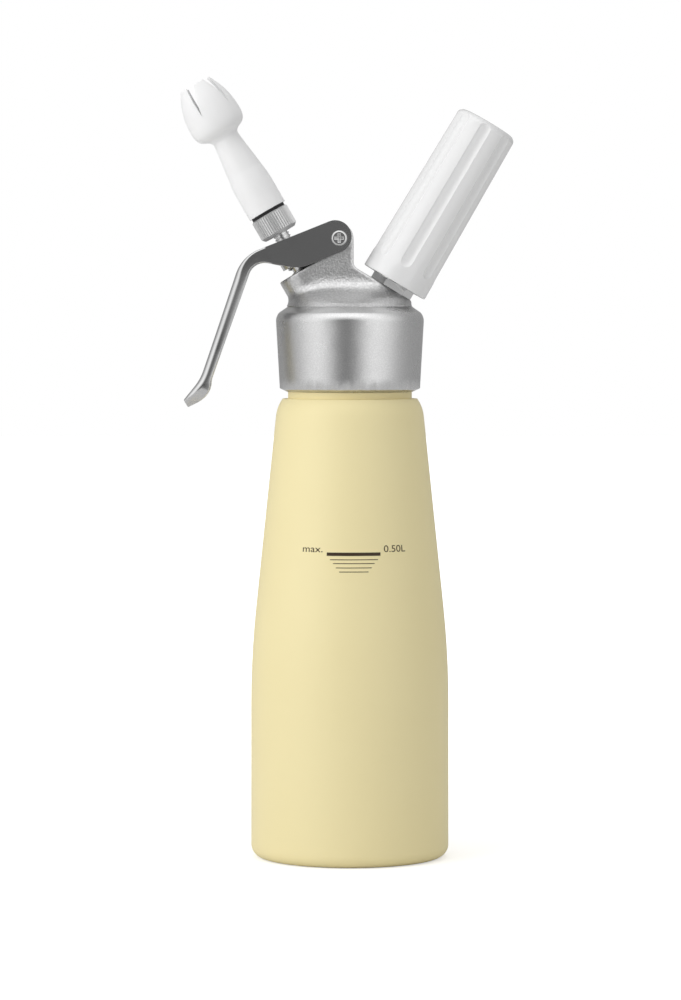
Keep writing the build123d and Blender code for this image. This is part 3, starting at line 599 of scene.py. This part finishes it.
for v in dome.verts:  # the foot stays inside the skirt
    outward = Vector((v.co.x, v.co.y, 0)).length
    if v.co.z < castLook["cut"] + castLook["footOver"] and outward > castLook["foot"]:
        v.co.x, v.co.y = v.co.x * castLook["foot"] / outward, v.co.y * castLook["foot"] / outward
dome.to_mesh(domePiece.data)
dome.free()
domePiece.data.shade_smooth()
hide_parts("head_casting")

# the stub's hexagon: its corners are broken, found by their distance from the axis and along it
stubLook = {
    "edge": 0.00035, "segments": 2, "sharp": 38, "cornersFrom": 0.0084, "hexagon": (0.0318, 0.0385),
    "smooth": 40,
}
stub = openCopy("charger_stub")
hexEdges = sharpEdges(
    stub, stubLook["sharp"], roundAxis(chargerAxis, stubLook["cornersFrom"], stubLook["hexagon"])
)
roundEdges(stub, hexEdges, stubLook["edge"], stubLook["segments"])
stubPiece = makePiece("hexStub", stub, "head", "turnedSteel", stubLook["smooth"])
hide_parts("charger_stub")

# the tip: its shaft fills out a little under the tulip, and the moulded edges round its mouth are broken
tipLook = {
    "edge": 0.0003, "segments": 2, "sharp": 48, "mouthFrom": 0.108, "shaft": (0.0850, 0.1002),
    "fill": 0.00048, "rings": 14, "smooth": 24,
}
tip = openCopy("decorator_tip")
mouthEdges = sharpEdges(tip, tipLook["sharp"], lambda p: fromAxis(p, valveAxis)[1] > tipLook["mouthFrom"])
roundEdges(tip, mouthEdges, tipLook["edge"], tipLook["segments"])
shaftFoot, shaftTop = tipLook["shaft"]
valveStart, valveWay = valveAxis
for number in range(tipLook["rings"] + 1):
    along = shaftFoot + (shaftTop - shaftFoot) * number / tipLook["rings"]
    cutMesh(tip, valveStart + valveWay * along, valveWay)
for v in tip.verts:
    along = fromAxis(v.co, valveAxis)[1]
    if shaftFoot < along < shaftTop:
        outward = v.co - valveStart - valveWay * along
        swell = sin(pi * (along - shaftFoot) / (shaftTop - shaftFoot))
        v.co += outward.normalized() * tipLook["fill"] * swell
tipPiece = makePiece("tulipTip", tip, "tip", "tipPlastic", tipLook["smooth"])
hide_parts("decorator_tip")

# the holder: its moulded edges are broken
holderLook = {
    "fluteEdge": 0.0007, "segments": 3, "sharp": 14, "flutesFrom": 0.0118, "flutes": (0.040, 0.1088),
    "flatness": 0.3, "smooth": 40,
}
holderMesh = openCopy("charger_holder")
bmesh.ops.dissolve_limit(
    holderMesh, angle_limit=radians(holderLook["flatness"]), verts=holderMesh.verts, edges=holderMesh.edges
)
flutes = sharpEdges(
    holderMesh, holderLook["sharp"], roundAxis(chargerAxis, holderLook["flutesFrom"], holderLook["flutes"])
)
roundEdges(holderMesh, flutes, holderLook["fluteEdge"], holderLook["segments"])
holderPiece = makePiece(
    "flutedHolder", holderMesh, "charger_holder", "holderGloss", holderLook["smooth"]
)
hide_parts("charger_holder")

# the pivot's screw: the edges of its cross recess and its head are broken
screwLook = {"edge": 0.00028, "segments": 3, "sharp": 40, "headFrom": -0.0121, "smooth": 60}
screw = openCopy("pivot_screw")
screwEdges = sharpEdges(screw, screwLook["sharp"], lambda p: p.y < screwLook["headFrom"])
roundEdges(screw, screwEdges, screwLook["edge"], screwLook["segments"])
screwPiece = makePiece("crossScrew", screw, "head", "turnedSteel", screwLook["smooth"])
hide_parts("pivot_screw")

# the fill mark, printed round the bottle: a bar between two words, and four hair lines under it
markLook = {
    "radius": 0.0352, "lift": 0.00005, "cuts": (-0.024, 0.026), "step": 0.0008, "rayFrom": 0.09,
    "letterHeight": 0.00264, "wordTall": 0.7, "baseline": 0.1255,
    "strips": (  # left, right, height of its middle, thickness
        (-0.00928, 0.01217, 0.12477, 0.00133), (-0.00790, 0.01106, 0.1226, 0.0003),
        (-0.00668, 0.00963, 0.1211, 0.0003), (-0.00556, 0.00844, 0.1194, 0.0003),
        (-0.00424, 0.00714, 0.1178, 0.0003),
    ),
    "words": (("max.", -0.01965, -0.01104), ("0.50L", 0.01368, 0.02349)),
}


def addWord(mesh, word, left, right):
    # a word that starts with a figure is set by its own height, any other by a fixed one
    curve = bpy.data.curves.new(word, "FONT")
    curve.body = word
    text = bpy.data.objects.new(word, curve)
    bpy.context.scene.collection.objects.link(text)
    bpy.context.view_layer.update()
    flat = bpy.data.meshes.new_from_object(text.evaluated_get(bpy.context.evaluated_depsgraph_get()))
    bpy.data.objects.remove(text)
    across = [v.co.x for v in flat.vertices]
    tall = markLook["wordTall"]
    if word[0].isdigit():
        tall = max(v.co.y for v in flat.vertices if v.co.x > 0)
    stretch = (right - left) / (max(across) - min(across))
    rise = markLook["letterHeight"] / tall
    for v in flat.vertices:
        v.co = (left + (v.co.x - min(across)) * stretch, 0, markLook["baseline"] + v.co.y * rise)
    mesh.from_mesh(flat)
    bpy.data.meshes.remove(flat)


mark = bmesh.new()
for left, right, middle, thick in markLook["strips"]:
    low, high = middle - thick / 2, middle + thick / 2
    corners = ((left, low), (right, low), (right, high), (left, high))
    mark.faces.new([mark.verts.new((x, 0, z)) for x, z in corners])
for word, left, right in markLook["words"]:
    addWord(mark, word, left, right)
cutAt, cutEnd = markLook["cuts"]
while cutAt < cutEnd:
    cutMesh(mark, (cutAt, 0, 0), (1, 0, 0))
    cutAt += markLook["step"]
for v in mark.verts:
    turn = v.co.x / markLook["radius"]
    outward = Vector((sin(turn), -cos(turn), 0))
    start = outward * markLook["rayFrom"] + Vector((0, 0, v.co.z))
    v.co = nodes["bottle"].ray_cast(start, -outward)[1] + outward * markLook["lift"]
mark.normal_update()
bmesh.ops.reverse_faces(mark, faces=[f for f in mark.faces if f.normal.y > 0])
makePiece("fillMark", mark, "bottle", "printInk", 0)
print("casting, tip, holder and fill mark made")

# camera, level with the head and looking a little down
cameraLook = {"place": (-0.0038, -1.548, 0.218), "aim": (-0.0038, 0, 0.1446), "lens": 138, "nearest": 0.01}


def aimFrom(thing, place, aim):
    # put at a place and turned to look at a point
    thing.location = place
    thing.rotation_euler = (Vector(aim) - Vector(place)).to_track_quat("-Z", "Y").to_euler()


camera = bpy.data.objects.new("camera", bpy.data.cameras.new("camera"))
bpy.context.scene.collection.objects.link(camera)
aimFrom(camera, cameraLook["place"], cameraLook["aim"])
camera.data.lens = cameraLook["lens"]
camera.data.clip_start = cameraLook["nearest"]
bpy.context.scene.camera = camera

# softboxes: the key on the left, a weaker one on the right, one overhead; metals see the world's bands
softboxes = {
    "keyLeft": {"place": (-1.35, -0.95, 0.55), "size": (1.6, 2.2), "power": 20.5},
    "fillRight": {"place": (1.35, -0.95, 0.45), "size": (1.4, 2.2), "power": 4},
    "top": {"place": (0.0, 0.1, 1.7), "size": (1.6, 1.2), "power": 8},
}
lampAim = (0, 0, 0.16)
for name, box in softboxes.items():
    light = bpy.data.lights.new(name, "AREA")
    light.shape = "RECTANGLE"
    light.size, light.size_y = box["size"]
    light.energy = box["power"]
    lamp = bpy.data.objects.new(name, light)
    aimFrom(lamp, box["place"], lampAim)
    lamp.visible_glossy = False
    bpy.context.scene.collection.objects.link(lamp)

# the world: white to the camera, a plain grey to matt surfaces, and bands of light to glossy ones
studioLook = {
    "plain": 0.42, "front": (-0.105, -0.9945, 0),
    # how far round to the front, from 0 behind to 1 straight before it, and the brightness there
    "bands": (
        (0.0, 0.40), (0.32, 0.42), (0.42, 0.52), (0.55, 0.82), (0.70, 1.15), (0.83, 1.30), (0.91, 1.20),
        (0.955, 0.75), (0.985, 0.24), (1.0, 0.12),
    ),
    # from 0 straight down to 1 straight up, and what the bands are multiplied by there
    "heights": ((0.0, 0.5), (0.45, 0.95), (0.62, 1.0), (1.0, 1.35)),
    "brightest": 2.0,
}
world = bpy.data.worlds.new("studio")
bpy.context.scene.world = world
world.use_nodes = True
tree = world.node_tree
background = tree.nodes["Background"]
path = tree.nodes.new("ShaderNodeLightPath")
coord = tree.nodes.new("ShaderNodeTexCoord")
facing = tree.nodes.new("ShaderNodeVectorMath")
facing.operation = "DOT_PRODUCT"
facing.inputs[1].default_value = studioLook["front"]
parts = tree.nodes.new("ShaderNodeSeparateXYZ")


def worldRamp(tree, value, stops):
    # a brightness by a value from -1 to 1; the ramp holds it halved, because its colours end at 1
    spread = tree.nodes.new("ShaderNodeMapRange")
    spread.inputs["From Min"].default_value = -1.0
    ramp = tree.nodes.new("ShaderNodeValToRGB")
    ramp.color_ramp.interpolation = "EASE"
    while len(ramp.color_ramp.elements) < len(stops):
        ramp.color_ramp.elements.new(0.5)
    for element, (place, brightness) in zip(ramp.color_ramp.elements, stops):
        grey = brightness / studioLook["brightest"]
        element.position = place
        element.color = (grey, grey, grey, 1)
    tree.links.new(value, spread.inputs["Value"])
    tree.links.new(spread.outputs["Result"], ramp.inputs["Fac"])
    return ramp.outputs["Color"]


tree.links.new(coord.outputs["Generated"], facing.inputs[0])
tree.links.new(coord.outputs["Generated"], parts.inputs[0])
bands = tree.nodes.new("ShaderNodeVectorMath")
bands.operation = "MULTIPLY"
tree.links.new(worldRamp(tree, facing.outputs["Value"], studioLook["bands"]), bands.inputs[0])
tree.links.new(worldRamp(tree, parts.outputs["Z"], studioLook["heights"]), bands.inputs[1])
full = tree.nodes.new("ShaderNodeVectorMath")
full.operation = "SCALE"
full.inputs["Scale"].default_value = studioLook["brightest"] ** 2
tree.links.new(bands.outputs[0], full.inputs[0])
glossyMix = tree.nodes.new("ShaderNodeMix")
glossyMix.data_type = "RGBA"
glossyMix.inputs[6].default_value = (studioLook["plain"],) * 3 + (1,)
cameraMix = tree.nodes.new("ShaderNodeMix")
cameraMix.data_type = "RGBA"
cameraMix.inputs[7].default_value = (1, 1, 1, 1)
tree.links.new(path.outputs["Is Glossy Ray"], glossyMix.inputs[0])
tree.links.new(full.outputs[0], glossyMix.inputs[7])
tree.links.new(glossyMix.outputs[2], cameraMix.inputs[6])
tree.links.new(path.outputs["Is Camera Ray"], cameraMix.inputs[0])
tree.links.new(cameraMix.outputs[2], background.inputs["Color"])

# floor: pale, it keeps the shadow and fades to white away from the object
floorLook = {
    "half": 3.0, "forward": 0.5, "colour": (0.8, 0.8, 0.8, 1), "roughness": 0.9, "specular": 0.1,
    "near": 0.15, "far": 0.45, "nearGlow": 0.5, "farGlow": 1.0,
}
floorMesh = bmesh.new()
bmesh.ops.create_grid(floorMesh, x_segments=1, y_segments=1, size=floorLook["half"])
bmesh.ops.translate(floorMesh, verts=floorMesh.verts, vec=(0, floorLook["half"] - floorLook["forward"], 0))
floorData = bpy.data.meshes.new("floor")
floorMesh.to_mesh(floorData)
floorMesh.free()
floor = bpy.data.objects.new("floor", floorData)
bpy.context.scene.collection.objects.link(floor)
floorMaterial = bpy.data.materials.new("paleFloor")
floorMaterial.use_nodes = True
tree = floorMaterial.node_tree
shader = tree.nodes["Principled BSDF"]
shader.inputs["Base Color"].default_value = floorLook["colour"]
shader.inputs["Roughness"].default_value = floorLook["roughness"]
shader.inputs["Specular IOR Level"].default_value = floorLook["specular"]
shader.inputs["Emission Color"].default_value = (1, 1, 1, 1)
path = tree.nodes.new("ShaderNodeLightPath")
coord = tree.nodes.new("ShaderNodeTexCoord")
away = tree.nodes.new("ShaderNodeVectorMath")
away.operation = "LENGTH"
fade = tree.nodes.new("ShaderNodeMapRange")
fade.inputs["From Min"].default_value = floorLook["near"]
fade.inputs["From Max"].default_value = floorLook["far"]
fade.inputs["To Min"].default_value = floorLook["nearGlow"]
fade.inputs["To Max"].default_value = floorLook["farGlow"]
glow = tree.nodes.new("ShaderNodeMath")
glow.operation = "MULTIPLY"
tree.links.new(coord.outputs["Object"], away.inputs[0])
tree.links.new(away.outputs["Value"], fade.inputs["Value"])
tree.links.new(fade.outputs["Result"], glow.inputs[0])
tree.links.new(path.outputs["Is Camera Ray"], glow.inputs[1])
tree.links.new(glow.outputs[0], shader.inputs["Emission Strength"])
floorData.materials.append(floorMaterial)
bpy.context.scene.view_settings.view_transform = "Standard"
print("camera, lamps and floor set")
